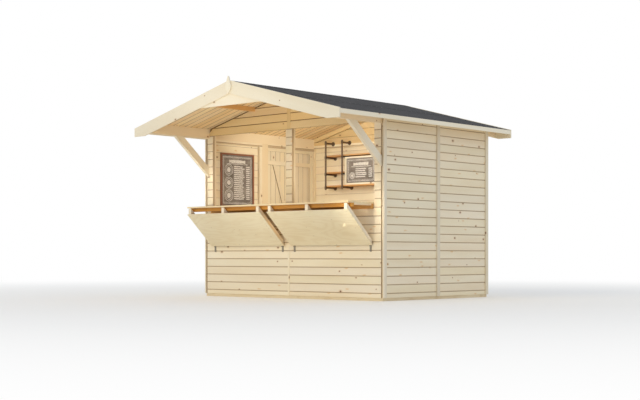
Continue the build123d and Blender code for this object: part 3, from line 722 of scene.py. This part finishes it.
# Posts beside the openings, with short boards on their faces
post_width = 0.100
boards = Timbers()
for sign in (-1, 1):
    span = sorted((sign * boards_end, sign * (boards_end - post_width)))
    lay_boards(boards, "front", *span, sill_height, opening_top)
    inner = sorted((sign * frame_end, sign * (boards_end - post_width)))
    in_wall(boards, "front", *inner, sill_height, opening_top, "up")
boards.made("front_corner_posts_boards", wall_wood, "front_corner_posts")

centre_half = edge_of("front_centre_post", 1, 0)
boards = Timbers()
lay_boards(boards, "front", -centre_half, centre_half, sill_height, opening_top)
in_wall(boards, "front", -centre_half, centre_half, sill_height, opening_top, "up")
boards.made("front_centre_post_boards", post_wood_painted_shade, "front_centre_post")


# Doorway and door leaves

doorway_front = edge_of("door_threshold", 0, 1)
doorway_back = edge_of("door_threshold", 1, 1)
doorway_top = 2.030
stop_depth = 0.043
stop_drop = 0.017

boards = Timbers()
lay_boards(boards, "left", doorway_front, doorway_back, doorway_top, wall_top)
doorway = (doorway_front, doorway_back)
in_wall(boards, "left", *doorway, doorway_top, purlin_bottom, "along")
in_wall(boards, "left", *doorway, doorway_top - stop_drop, doorway_top, "along", stop_depth)
boards.made("left_wall_over_door_boards", wall_wood, "left_wall_over_door")

door_boards = 5
door_frame = 0.020
rail_width = 0.055
meeting_stile = 0.045
hinge_stile = 0.065
brace_width = 0.056
brace_inset = 0.121
rail_middles = (1.072, 1.812)


def door_profile(width):
    """Section of a door board, with a deeper V outside than inside."""
    out, back, t = 0.004, 0.0035, wall_board
    return [(out, 0), (width - out, 0), (width, out), (width, t - back), (width - back, t), (back, t),
            (0, t - back), (0, out)]


def door_leaf(node, body, hinge_at_start, stile):
    """Upright boards on rails and a meeting stile, with two braces or else a hinge stile."""
    bottom, top = edge_of(node, 0, 2), edge_of(node, 1, 2)
    start, end = edge_of(node, 0, 1), edge_of(node, 1, 1)
    leaf = Timbers()
    width = (end - start) / door_boards
    for number in range(door_boards):
        def place(along, across, depth, number=number):
            return on_wall("left", start + number * width + across, along, depth)
        leaf.add(door_profile(width), bottom, top, place)
    hinge, meeting, step = (start, end, 1) if hinge_at_start else (end, start, -1)
    inner = meeting - step * meeting_stile
    rail_end = hinge + step * stile
    behind = (wall_board, wall_board + door_frame)
    in_wall(leaf, "left", *sorted((meeting, inner)), bottom, top, "up", *behind)
    if stile:
        in_wall(leaf, "left", *sorted((hinge, rail_end)), bottom, top, "up", *behind)
    lows = [bottom, *(middle - rail_width / 2 for middle in rail_middles), top - rail_width]
    for low in lows:
        in_wall(leaf, "left", *sorted((rail_end, inner)), low, low + rail_width, "along", *behind)
    braced = () if stile else zip(lows[:2], lows[1:3])
    for rail, high in braced:
        low = rail + rail_width
        foot = inner - step * brace_width / 2
        head = hinge + step * (brace_inset + brace_width / 2)
        run = Vector((head - foot, high - low))
        length = run.length
        along_dir = run / length
        half = brace_width * abs(along_dir.y) / 2

        def place(along, across, depth, foot=foot, low=low, along_dir=along_dir, half=half):
            off = across - half
            y = foot + along * along_dir.x - off * along_dir.y
            z = low + along * along_dir.y + off * along_dir.x
            return on_wall("left", y, z, wall_board + depth)

        def cut(offset, along_dir=along_dir, half=half):
            return lambda across, depth: offset - (across - half) * along_dir.x / along_dir.y

        leaf.add(bevelled(2 * half, door_frame, small_edge), cut(0), cut(length), place)
    leaf.made(node + "_boards", door_wood, node, body=body)


door_leaf("door_leaf_front", "front_door_leaf", True, 0)
door_leaf("door_leaf_rear", "rear_door_leaf", False, hinge_stile)


# Floor, roof boards and felt

boards = Timbers()
low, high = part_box("floor")
floor_count = 17
floor_joint = 0.0008
width = (high.y - low.y) / floor_count
for number in range(floor_count):
    start = low.y + number * width + floor_joint / 2
    boards.beam((low.x, start, low.z), (high.x, start + width - floor_joint, high.z), 0)
boards.made("floor_boards", floor_wood, "floor")

roof_board = 0.018
roof_count = 34
roof_width = (roof_back - roof_front) / roof_count
ridge_gap = 0.0005


def roof_profile(width):
    """Section of a roof board: a V and a thin shadow gap below, flat above."""
    wide, deep, t = 0.011, 0.006, roof_board
    gap, gap_top = 0.001, 0.009
    return [(wide, 0), (width - wide, 0), (width - gap, deep), (width - gap, gap_top), (width, gap_top),
            (width, t), (0, t), (0, gap_top), (gap, gap_top), (gap, deep)]


for sign, half in ((-1, "left"), (1, "right")):
    boards = Timbers()
    for number in range(roof_count):
        def place(along, across, depth, number=number, sign=sign):
            y = roof_front + number * roof_width + across
            return sign * along, y, roof_under(along) + depth * upright

        boards.add(roof_profile(roof_width), ridge_gap, roof_edge, place)
    boards.made(f"roof_boards_{half}_laid", roof_wood_painted_bounce, f"roof_boards_{half}")

felt_edge = edge_of("roof_felt", 1, 0)
felt_thickness = 0.0022
lap = 0.085
course_end = 0.93


def felt_course(bm, sign, x0, x1, base, thickness, rows=26, columns=90):
    """One strip of felt on a slope, its face and lower edge a little uneven."""
    def point(x, y, lift):
        return bm.verts.new((sign * x, y, roof_under(x) + (roof_board + lift) * upright))

    def wander(y, seed):
        return 0.0022 * math.sin(y * 7.3 + seed) + 0.0014 * math.sin(y * 17.9 + seed * 2)

    top, under = {}, {}
    for i in range(rows + 1):
        share = i / rows
        for j in range(columns + 1):
            y = roof_front + (roof_back - roof_front) * j / columns
            x = x0 + (x1 - x0) * share
            if x1 < felt_edge and i == rows:
                x += wander(y, x1 * 9)
            inside = math.sin(math.pi * share) * math.sin(math.pi * j / columns)
            swell = 0.0005 * inside * (math.sin(y * 5.1 + x * 3) + math.sin(y * 11.7 - x * 8 + sign))
            top[i, j] = point(x, y, base + thickness + max(0, swell))
            under[i, j] = point(x, y, base)
    for grid in (top, under):
        for i in range(rows):
            for j in range(columns):
                bm.faces.new([grid[i, j], grid[i + 1, j], grid[i + 1, j + 1], grid[i, j + 1]])
    rim = [(i, 0) for i in range(rows)] + [(rows, j) for j in range(columns)]
    rim += [(i, columns) for i in range(rows, 0, -1)] + [(0, j) for j in range(columns, 0, -1)]
    for here, after in zip(rim, rim[1:] + rim[:1]):
        bm.faces.new([top[here], top[after], under[after], under[here]])


bm = bmesh.new()
for sign in (-1, 1):
    felt_course(bm, sign, course_end - lap, felt_edge, 0, felt_thickness)
    felt_course(bm, sign, ridge_gap, course_end, felt_thickness * 0.85, felt_thickness)
    felt_course(bm, sign, 0, 0.110, 0.0042, 0.0026, rows=4)
finished(bm, "roof_felt_courses", "hut", felt_cover, ("roof_felt",), smooth=True)

# Clouts stand in rows along the courses' edges, each row at x and so far above the roof boards
clouts = Heads()
clout_pitch = 0.098
clout_radius, clout_rise = 0.0048, 0.0011
for sign in (-1, 1):
    tilt = (sign * slope, 0, 1)
    for x, lift in ((course_end - 0.022, 0.0042), (0.093, 0.0068), (felt_edge - 0.030, 0.0024)):
        z = roof_under(x) + (roof_board + lift) * upright
        y = roof_front + 0.035
        while y < roof_back - 0.02:
            clouts.add((sign * x, y, z), tilt, clout_radius, clout_rise)
            y += clout_pitch
clouts.made("felt_clout_heads", nail_cover)


# Timbers whose solids are right, with rounded edges and grain

for node, material, edge in (
    ("base_long_bearers", base_wood, 0.002), ("base_cross_bearers", base_wood, 0.002),
    ("sills", frame_wood, 0.002), ("corner_trims", corner_wood, 0.0015),
    ("door_posts", frame_wood, 0.0015), ("door_threshold", frame_wood, 0.002),
    ("eave_purlins", eave_wood, 0.002), ("middle_purlins", middle_purlin_painted_shade_wood, 0.002),
    ("eave_fascias", trim_wood, 0.0015), ("barge_boards_left", trim_wood, 0.002),
    ("barge_boards_right", trim_wood, 0.002), ("apex_board", trim_wood, 0.0015),
    ("knee_braces", trim_wood, 0.002), ("wall_shelf", stained_wood, 0.0015),
):
    dress(node, material, edge)


# The cover strips in three copies: painted shade on the front gable, painted sunlight on the front wall, the
# plain timber elsewhere
dress("cover_strips", cover_wood, 0.001, held=lambda middle: middle.y > -half_depth)
dress("cover_strips", gable_strip_painted_shade_wood, 0.001, name="cover_strip_front_gable",
      held=lambda middle: middle.y <= -half_depth and middle.z > opening_top)
dress("cover_strips", front_strip_painted_light_wood, 0.001, name="cover_strip_front_wall",
      held=lambda middle: middle.y <= -half_depth and middle.z <= opening_top)


def smooth_line(points, steps=4):
    """Points along a smooth curve through the given ones."""
    line = []
    ends = [points[0], *points, points[-1]]
    for near in zip(ends, ends[1:], ends[2:], ends[3:]):
        for step in range(steps):
            t = step / steps
            line.append(tuple(
                b + t / 2 * (c - a + t * (2 * a - 5 * b + 4 * c - d + t * (3 * (b - c) + d - a)))
                for a, b, c, d in zip(*near)))
    return [*line, points[-1]]


# Half of the finial's outline as (half width, height above its foot), from the foot to the tip
drop_shape = (
    (0, 0), (0.0163, 0.0172), (0.0303, 0.0347), (0.0391, 0.0492), (0.0449, 0.0646), (0.0465, 0.0780),
    (0.0453, 0.0869), (0.0420, 0.0970), (0.0371, 0.1080), (0.0319, 0.1190), (0.0273, 0.1316),
    (0.0243, 0.1430), (0.0213, 0.1550), (0.0178, 0.1670), (0.0139, 0.1780), (0.0097, 0.1885),
    (0.0058, 0.1973), (0.0026, 0.2025), (0, 0.2041))
low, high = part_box("finial")
drop_half = [(x, low.z + z) for x, z in smooth_line(drop_shape)]
boards = Timbers()
boards.add(drop_half + [(-x, z) for x, z in drop_half[-2:0:-1]], low.y, high.y,
           lambda along, across, depth: (across, along, depth),
           (Vector((0, 0, 1)), Vector((1, 0, 0)), Vector((0, 1, 0))))
boards.made("finial_finish", trim_wood, "finial", bevel=0.0015)


# Counter

low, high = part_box("counter_top")
planks = 4
boards = Timbers()
width = (high.y - low.y) / planks
for number in range(planks):
    start = low.y + number * width
    boards.beam((low.x, start, low.z), (high.x, start + width, high.z), 0, 0.0012)
boards.made("counter_planks", counter_wood, "counter_top")

low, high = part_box("counter_frame")
rail = 0.045
cross_rail = 0.022
boards = Timbers()
# The long rails take the orange timber of painted bounce shade; the cross rails stay in the plain counter
# timber
boards.beam((low.x, high.y - rail, low.z), (high.x, high.y, high.z), 0)
boards.beam((low.x, low.y, high.z - rail), (high.x, low.y + rail, high.z), 0)
boards.made("counter_long_rails", rail_wood_painted_bounce_shade, "counter_frame")
boards = Timbers()
for x in (low.x, -rail / 2, high.x - rail):
    boards.beam((x, low.y + rail, high.z - cross_rail), (x + rail, high.y - rail, high.z), 1)
boards.made("counter_cross_rails", counter_wood, "counter_frame")


# Flaps. Their section is set out from the hinge pin, as "out" from the wall boards and height.

lean = math.radians(46.7)
pin_out, pin_height = 0.007, 0.642
sheet_outer = -0.0092
flap_sheet = 0.009
flap_length = 0.585
foot_height = 0.650
batten_foot = 0.0085
batten_end = 0.450
batten_width = 0.045
batten_depth = 0.052
batten_top = edge_of("counter_top", 0, 2) - 0.005
hinge_inset = 0.043


def flap_line(out, offset):
    """Height of a line along the flap, offset inwards from the pin."""
    return pin_height + (offset + math.cos(lean) * (out - pin_out)) / math.sin(lean)


def flap_out(height, offset):
    """Distance out of the same line at a height."""
    return pin_out + ((height - pin_height) * math.sin(lean) - offset) / math.cos(lean)


def flap_piece(side, node, body):
    """A sheet on three battens whose ends are cut plumb and level."""
    x0, x1 = edge_of(node, 0, 0), edge_of(node, 1, 0)
    down_slope = Vector((0, -math.sin(lean), math.cos(lean)))
    inwards = Vector((0, math.cos(lean), math.sin(lean)))

    def place(along, out, height):
        return along, -half_depth - out, height

    inner = sheet_outer + flap_sheet
    upper = inner + batten_depth
    foot = (flap_out(foot_height, sheet_outer), foot_height)
    top = (foot[0] + flap_length * math.sin(lean), foot[1] + flap_length * math.cos(lean))
    inner_top = (top[0] - flap_sheet * math.cos(lean), top[1] + flap_sheet * math.sin(lean))
    inner_foot = (flap_out(foot_height, inner), foot_height)
    cover = Timbers()
    cover.add([foot, top, inner_top, inner_foot], x0, x1, place, (Vector((1, 0, 0)), down_slope, inwards))
    cover.made(f"flap_sheet_{side}", flap_ply, node, body=body, bevel=0.001, slot="flap_timber")

    section = [(batten_foot, foot_height), inner_foot, (batten_end, flap_line(batten_end, inner)),
               (batten_end, batten_top), (flap_out(batten_top, upper), batten_top),
               (batten_foot, flap_line(batten_foot, upper))]
    battens = Timbers()
    places = (x0 + hinge_inset, (x0 + x1) / 2, x1 - hinge_inset)
    for x in places:
        axes = (down_slope, Vector((1, 0, 0)), inwards)
        battens.add(section, x - batten_width / 2, x + batten_width / 2, place, axes)
    battens.made(f"flap_battens_{side}", batten_wood, node, body=body, bevel=0.0012, slot="flap_timber")

    screws = Heads()
    for x in places:
        for share in (0.04, 0.20, 0.36, 0.52, 0.68, 0.84, 0.95):
            out = foot[0] + share * (top[0] - foot[0])
            screws.add(place(x, out, flap_line(out, sheet_outer)), -inwards, 0.0026, 0.0004)
    screws.made(f"flap_screws_{side}", nail_cover, body)


flap_piece("left", "flap_left", "left_flap")
flap_piece("right", "flap_right", "right_flap")


# Hinges, handle and pipes

for node, body in (
    ("door_hinge_plates", "hut"), ("flap_hinge_plates", "hut"),
    ("door_fittings_front", "front_door_leaf"), ("door_fittings_rear", "rear_door_leaf"),
    ("flap_hinges_left", "left_flap"), ("flap_hinges_right", "right_flap"),
):
    dress(node, zinc_cover, 0.0004, body, segments=1, smooth=True)
dress("shelf_pipes", black_pipe, 0.0006, segments=1, smooth=True)

plate = 0.003
screw_radius, screw_rise = 0.0042, 0.0009
flap_hinges = (-1.317, -0.101, 0.101, 1.317)
strap_inset = 0.260
door_pin_inset = 0.0025

screws = Heads()
for x in flap_hinges:
    for shift, drop in ((-0.004, 0.020), (0.006, 0.040), (-0.004, 0.058)):
        screws.add((x + shift, -half_depth - plate, pin_height - drop), (0, -1, 0), screw_radius, screw_rise)
screws.made("flap_hinge_screws", nail_cover)

straps = (edge_of("door_leaf_front", 0, 2) + strap_inset, edge_of("door_leaf_front", 1, 2) - strap_inset)
for name, doorway_end, step in (("front", doorway_front, 1), ("rear", doorway_back, -1)):
    screws = Heads()
    for z in straps:
        for reach in (0.030, 0.090, 0.165, 0.240):
            y = doorway_end + step * (door_pin_inset + reach)
            screws.add((-half_width - plate, y, z), (-1, 0, 0), screw_radius, screw_rise)
    screws.made(f"door_strap_screws_{name}", nail_cover, name + "_door_leaf")


# Writing boards, with plain chalk strokes

strip = 0.022
sheet_thickness = 0.009


def framed_board(name, low, high, wide, face, material):
    """A sheet in a frame of strips, wide along axis 0 or 1, that faces +1 or -1 on the other.
    Returns where a point on the sheet is, and the sheet's width and height."""
    low, high = Vector(low), Vector(high)
    across = 1 - wide
    width, thickness, height = high[wide] - low[wide], high[across] - low[across], high.z - low.z
    back = low[across] if face > 0 else high[across]

    def place(u, v, d):
        point = [back + face * d] * 3
        point[wide] = low[wide] + u
        point[2] = low.z + v
        return point

    def on_sheet(u, v, d):
        return place(strip + u, strip + v, sheet_thickness + d)

    frame = Timbers()
    for u in (0, width - strip):
        frame.beam(place(u, 0, 0), place(u + strip, height, thickness), 2)
    for v in (0, height - strip):
        frame.beam(place(strip, v, 0), place(width - strip, v + strip, thickness), wide)
    frame.made(name + "_frame", material, "menu_boards", slot="writing_board")
    sheet = Timbers()
    sheet.beam(place(strip, strip, 0), place(width - strip, height - strip, sheet_thickness), 2, 0.0005)
    sheet.made(name + "_sheet", writing_board, "menu_boards", slot="writing_board")
    return on_sheet, width - 2 * strip, height - 2 * strip


side_board = framed_board("side_writing_board", (-1.482, -0.813, 1.180), (-1.460, -0.196, 1.897), 1, 1,
                          red_frame_wood)
back_board = framed_board("back_writing_board", (-0.730, 0.842, 1.508), (-0.170, 0.864, 1.893), 0, -1,
                          trim_wood)


def stroke(bm, place, points, width):
    """A flat chalk line through points (u, v) on a board."""
    thick = 0.0003
    rings = []
    for i, (u, v) in enumerate(points):
        before, after = points[max(i - 1, 0)], points[min(i + 1, len(points) - 1)]
        run = Vector((after[0] - before[0], after[1] - before[1])).normalized()
        side = Vector((-run.y, run.x)) * width / 2 * draw.uniform(0.75, 1.15)
        rings.append([bm.verts.new(place(u + side.x * s, v + side.y * s, d))
                      for s, d in ((1, 0), (-1, 0), (-1, thick), (1, thick))])
    skin(bm, rings)


def chalk_strokes(name, place, width, height):
    """A ruled border, a heading bar, rings and rows of plain wavy lines."""
    bm = bmesh.new()

    def line(u0, v0, u1, v1, thick, steps=14, wave=0.0015):
        points = []
        for i in range(steps + 1):
            share = i / steps
            points.append((u0 + (u1 - u0) * share + draw.uniform(-wave, wave),
                           v0 + (v1 - v0) * share + draw.uniform(-wave, wave)))
        stroke(bm, place, points, thick)

    def ring(u, v, radius, thick, steps=18):
        turns = (math.tau * i / steps for i in range(steps + 1))
        stroke(bm, place, [(u + radius * math.cos(a), v + radius * math.sin(a)) for a in turns], thick)

    edge = 0.026
    for near, thick in ((edge, 0.007), (edge + 0.014, 0.003)):
        right, top = width - near, height - near
        for ends in ((near, near, right, near), (near, top, right, top),
                     (near, near, near, top), (right, near, right, top)):
            line(*ends, thick)
    heading = height - 0.085
    line(width * 0.24, heading, width * 0.76, heading, 0.040)
    line(width * 0.16, heading - 0.034, width * 0.84, heading - 0.034, 0.008)
    medal = min(width, height) * 0.13
    medals = middle = edge + 0.03 + medal
    while middle + medal < heading - 0.04:
        for size, thick in ((1.0, 0.008), (0.72, 0.007), (0.24, medal * 0.46)):
            ring(medals, middle, medal * size, thick)
        middle += 2.3 * medal
    start, end = edge + 0.05 + 2 * medal, width - edge
    row, row_pitch, row_thick, row_wave = heading - 0.066, 0.027, 0.015, 0.0026
    while row > edge + 0.05:
        split = start + (end - start) * draw.uniform(0.50, 0.62)
        line(start, row, split, row, row_thick, wave=row_wave)
        line(end - 0.095, row, end - 0.030, row, row_thick, steps=6, wave=row_wave)
        row -= row_pitch
    finished(bm, name, "hut", chalk_mark, ())


chalk_strokes("side_writing_board_strokes", *side_board)
chalk_strokes("back_writing_board_strokes", *back_board)


# Nails in the corner trims, the right wall's cover strip and the barge boards

nails = Heads()
trim_nails = half_depth - 0.025
strip_nails = 0.014
heights = [0.12 + number * 0.245 for number in range(9)]
for sign in (-1, 1):
    for y in (-trim_nails, trim_nails):
        for z in heights:
            nails.add((sign * (half_width + 0.018), y, z), (sign, 0, 0))
for z in heights:
    for y in (-strip_nails, strip_nails):
        nails.add((half_width + 0.017, y, z), (1, 0, 0))
barge_top = 0.022 * upright + 0.004
for sign in (-1, 1):
    for x in [0.12 + number * 0.29 for number in range(6)]:
        for drop in (0.045, 0.105):
            for end, way in ((0, -1), (1, 1)):
                y = edge_of("barge_boards_right", end, 1)
                nails.add((sign * x, y, roof_under(x) + barge_top - drop), (0, way, 0))
nails.made("nail_heads", nail_cover)


# Floor, light and camera

def floor_paint(name, colour, glow, near, far):
    """A pale floor that keeps the object's shadow, and is seen as white from near to far."""
    s = Shader(name)
    place = s.place()
    worn = tuple(c * 0.97 for c in colour[:3]) + (1.0,)
    s.colour(s.mix(s.noise(place, 0.4, 2.0), colour, worn))
    s.set("Roughness", 0.9)
    s.set("Emission Color", (1, 1, 1, 1))
    s.set("Emission Strength", glow)
    distance = s.node("VectorMath", {0: place}, operation="LENGTH").outputs["Value"]
    share = s.between(distance, near, far)
    s.seen_as_white("Emission", "Material Output", s.surface.outputs[0], share)
    return s.owner


floor_half = 60
floor_drop = 0.0005
bm = bmesh.new()
bmesh.ops.create_grid(bm, x_segments=8, y_segments=8, size=floor_half)
paint = floor_paint("studio_floor_paint", rgb(234, 229, 217), glow=0.13, near=3.5, far=13.0)
floor = meshed(bm, "studio_floor", paint)
floor.location.z = -floor_drop


def light(name, kind, aim, power, colour):
    """A light that shines along aim."""
    data = bpy.data.lights.new(name, kind)
    data.energy = power
    data.color = colour
    return placed(name, data, aim)


sun = light("key", "SUN", (0.14, 0.85, -0.44), 0.62, (1.0, 0.88, 0.66))
sun.data.angle = math.radians(30)

# Area lights: place, target, diameter, power, colour, and spread of the light in degrees
for name, place, target, size, power, colour, spread in (
    ("inside_fill", (0.0, -0.6, 1.85), (-0.45, 0.8, 1.30), 1.1, 20.8, (0.96, 1.0, 1.0), 180),
    ("canopy_fill", (0.0, -3.4, 0.6), (0.0, -1.2, 2.3), 1.4, 3.1, (1.0, 0.92, 0.80), 70),
    ("post_fill", (1.20, -1.22, 1.60), (-0.3, -1.04, 1.55), 0.36, 1.4, (1.0, 0.96, 0.90), 70),
    ("corner_fill_right", (1.26, -3.3, 1.1), (1.41, -1.05, 1.05), 0.4, 0.4, (1.0, 0.95, 0.86), 20),
    ("corner_fill_left", (-1.36, -3.3, 1.6), (-1.42, -1.05, 1.55), 0.4, 0.5, (1.0, 0.95, 0.86), 24),
    ("under_counter_fill", (1.12, -1.30, 0.97), (1.30, -1.05, 0.93), 0.22, 0.16, (1.0, 0.93, 0.86), 180),
    ("gap_fill", (0.045, -1.20, 0.94), (-0.10, -1.24, 0.86), 0.30, 0.22, (1.0, 0.70, 0.38), 180),
):
    lamp = light(name, "AREA", Vector(target) - Vector(place), power, colour)
    lamp.location = place
    lamp.visible_camera = False
    lamp.data.shape = "DISK"
    lamp.data.size = size
    lamp.data.spread = math.radians(spread)

sky = Shader("studio", bpy.data.worlds)
bpy.context.scene.world = sky.owner
soft = sky.tree.nodes["Background"]
sky.feed(soft.inputs["Color"], (0.87, 0.95, 1.12, 1.0))
sky.feed(soft.inputs["Strength"], 0.79)
sky.seen_as_white("Background", "World Output", soft.outputs[0])

focal_pixels = 1261
image_width = 640
sensor = 36
horizon_shift = 56
camera = placed("camera", bpy.data.cameras.new("camera"), (-0.6708, 0.7416, 0))
bpy.context.scene.camera = camera
camera.location = (10.725, -12.333, 0.523)
camera.data.sensor_width = sensor
camera.data.lens = focal_pixels / image_width * sensor
camera.data.shift_y = horizon_shift / image_width
camera.data.clip_end = 200
bpy.context.scene.view_settings.view_transform = "Standard"
